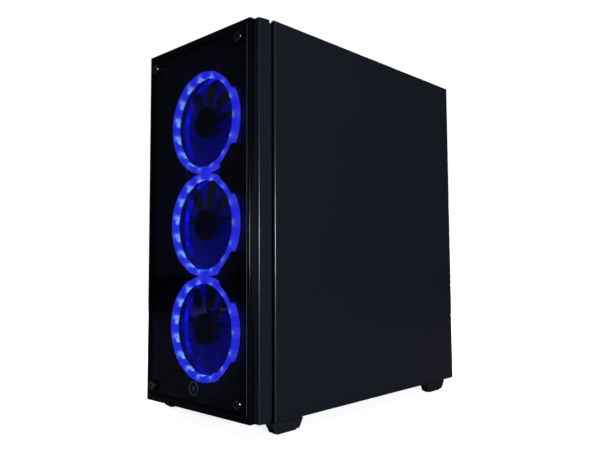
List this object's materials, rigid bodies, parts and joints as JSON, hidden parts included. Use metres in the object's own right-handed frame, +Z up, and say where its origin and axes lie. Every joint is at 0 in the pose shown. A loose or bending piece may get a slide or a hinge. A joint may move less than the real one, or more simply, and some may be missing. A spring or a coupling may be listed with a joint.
{
  "type": "desktop computer tower",
  "caption": "Black tower computer case with a dark glass front over lit intake fans, steel and glass side panels, and the working parts inside.",
  "frame": {"origin": "on the floor under the middle of the bounding box", "axes": "+Z up, front faces -Y, +X to the right seen from the front, +Y to the back"},
  "size_m": [0.2, 0.409, 0.4454],
  "materials": {
    "black_steel": "fine-textured satin black powder coat",
    "panel_steel": "smooth satin black paint on folded sheet",
    "front_plastic": "smooth black moulding, satin to gloss",
    "foot_plastic": "matte black moulding",
    "black_rubber": "matte",
    "front_glass": "dark tinted, polished, bevelled edge",
    "side_glass": "grey tinted, polished",
    "chrome": "polished",
    "black_knob": "black anodised knurl",
    "fan_plastic": "matte black",
    "fan_blade": "translucent smoke blue in the light of the ring",
    "light_ring": "lit blue light guide with brighter spots",
    "mesh": "fine woven nylon mesh",
    "badge": "satin blue-grey",
    "board": "black solder mask with copper traces",
    "connector": "black moulded connector",
    "zinc": "zinc plated",
    "heatsink": "bare aluminium fins",
    "dark_sink": "anodised dark grey",
    "copper": "nickel-free copper pipe",
    "memory": "anodised black heat spreader",
    "card_cover": "black moulding with satin facets",
    "drive": "cast aluminium",
    "cable": "black sleeved bundle",
    "button": "satin black with a bright rim"
  },
  "bodies": {
    "chassis": {"chassis_floor": "black_steel", "chassis_front": "black_steel", "chassis_rear": "black_steel", "chassis_roof": "black_steel", "motherboard_tray": "black_steel", "psu_shroud": "black_steel", "drive_cage": "black_steel", "feet": "foot_plastic", "foot_pads": "black_rubber", "front_fan_frame_lower": "fan_plastic", "front_fan_frame_middle": "fan_plastic", "front_fan_frame_upper": "fan_plastic", "front_light_rings": "light_ring", "rear_fan_frame": "fan_plastic", "io_panel": "front_plastic", "io_board": "board", "usb_sockets": "zinc", "audio_jacks": "connector", "motherboard": "board", "rear_ports": "zinc", "io_shield": "zinc", "board_heatsinks": "dark_sink", "board_sockets": "connector", "memory_modules": "memory", "cooler_fins": "heatsink", "cooler_heatpipes": "copper", "cpu_fan_frame": "fan_plastic", "graphics_board": "board", "graphics_cover": "card_cover", "graphics_bracket": "zinc", "power_supply_case": "black_steel", "power_inlet": "connector", "slot_covers": "black_steel", "hard_drive": "drive", "solid_state_drive": "dark_sink", "board_cable": "cable", "graphics_cable": "cable", "case_screws": "black_knob"},
    "bezel": {"front_bezel": "front_plastic", "front_glass": "front_glass", "glass_screws": "chrome", "front_badge": "badge", "front_dust_filter": "mesh"},
    "steel_panel": {"right_panel": "panel_steel", "right_panel_screws": "black_knob"},
    "glass_panel": {"side_glass": "side_glass", "side_glass_knobs": "chrome"},
    "roof_filter": {"roof_filter": "mesh"},
    "floor_filter": {"floor_filter": "mesh"},
    "power_button": {"power_button": "button"},
    "reset_button": {"reset_button": "button"},
    "power_switch": {"power_switch": "button"},
    "front_rotor_lower": {"front_fan_rotor_lower": "fan_blade"},
    "front_rotor_middle": {"front_fan_rotor_middle": "fan_blade"},
    "front_rotor_upper": {"front_fan_rotor_upper": "fan_blade"},
    "rear_rotor": {"rear_fan_rotor": "fan_blade"},
    "cpu_rotor": {"cpu_fan_rotor": "fan_plastic"},
    "psu_rotor": {"power_supply_rotor": "fan_plastic"},
    "card_rotor_front": {"graphics_rotor_front": "fan_plastic"},
    "card_rotor_rear": {"graphics_rotor_rear": "fan_plastic"}
  },
  "joints": [
    {"name": "front_rotor_lower_spin", "type": "hinge", "parent": "chassis", "child": "front_rotor_lower", "pos_m": [0, -0.1725, 0.1051], "axis": [0, 1, 0], "continuous": true},
    {"name": "front_rotor_middle_spin", "type": "hinge", "parent": "chassis", "child": "front_rotor_middle", "pos_m": [0, -0.1725, 0.2251], "axis": [0, 1, 0], "continuous": true},
    {"name": "front_rotor_upper_spin", "type": "hinge", "parent": "chassis", "child": "front_rotor_upper", "pos_m": [0, -0.1725, 0.3451], "axis": [0, 1, 0], "continuous": true},
    {"name": "rear_rotor_spin", "type": "hinge", "parent": "chassis", "child": "rear_rotor", "pos_m": [-0.0304, 0.1822, 0.37], "axis": [0, 1, 0], "continuous": true},
    {"name": "cpu_rotor_spin", "type": "hinge", "parent": "chassis", "child": "cpu_rotor", "pos_m": [-0.016, 0.083, 0.358], "axis": [0, 1, 0], "continuous": true},
    {"name": "psu_rotor_spin", "type": "hinge", "parent": "chassis", "child": "psu_rotor", "pos_m": [0.003, 0.1242, 0.026], "axis": [0, 0, 1], "continuous": true},
    {"name": "card_rotor_front_spin", "type": "hinge", "parent": "chassis", "child": "card_rotor_front", "pos_m": [0.007, 0.0178, 0.231], "axis": [0, 0, 1], "continuous": true},
    {"name": "card_rotor_rear_spin", "type": "hinge", "parent": "chassis", "child": "card_rotor_rear", "pos_m": [0.007, 0.1238, 0.231], "axis": [0, 0, 1], "continuous": true},
    {"name": "power_button_press", "type": "slide", "parent": "chassis", "child": "power_button", "axis": [0, 0, -1], "range_m": [0, 0.0015], "stiffness_N_per_m": 400, "springref_m": -0.001},
    {"name": "reset_button_press", "type": "slide", "parent": "chassis", "child": "reset_button", "axis": [0, 0, -1], "range_m": [0, 0.0015], "stiffness_N_per_m": 300, "springref_m": -0.001},
    {"name": "power_switch_rock", "type": "hinge", "parent": "chassis", "child": "power_switch", "pos_m": [-0.015, 0.1912, 0.038], "axis": [1, 0, 0], "range_deg": [-14, 0]},
    {"name": "steel_panel_slide", "type": "slide", "parent": "chassis", "child": "steel_panel", "axis": [0, 1, 0], "range_m": [0, 0.025]},
    {"name": "glass_panel_pull", "type": "slide", "parent": "chassis", "child": "glass_panel", "axis": [-1, 0, 0], "range_m": [0, 0.06]},
    {"name": "bezel_pull", "type": "slide", "parent": "chassis", "child": "bezel", "axis": [0, -1, 0], "range_m": [0, 0.045]},
    {"name": "roof_filter_lift", "type": "slide", "parent": "chassis", "child": "roof_filter", "axis": [0, 0, 1], "range_m": [0, 0.04]},
    {"name": "floor_filter_slide", "type": "slide", "parent": "chassis", "child": "floor_filter", "axis": [0, 1, 0], "range_m": [0, 0.14]}
  ]
}
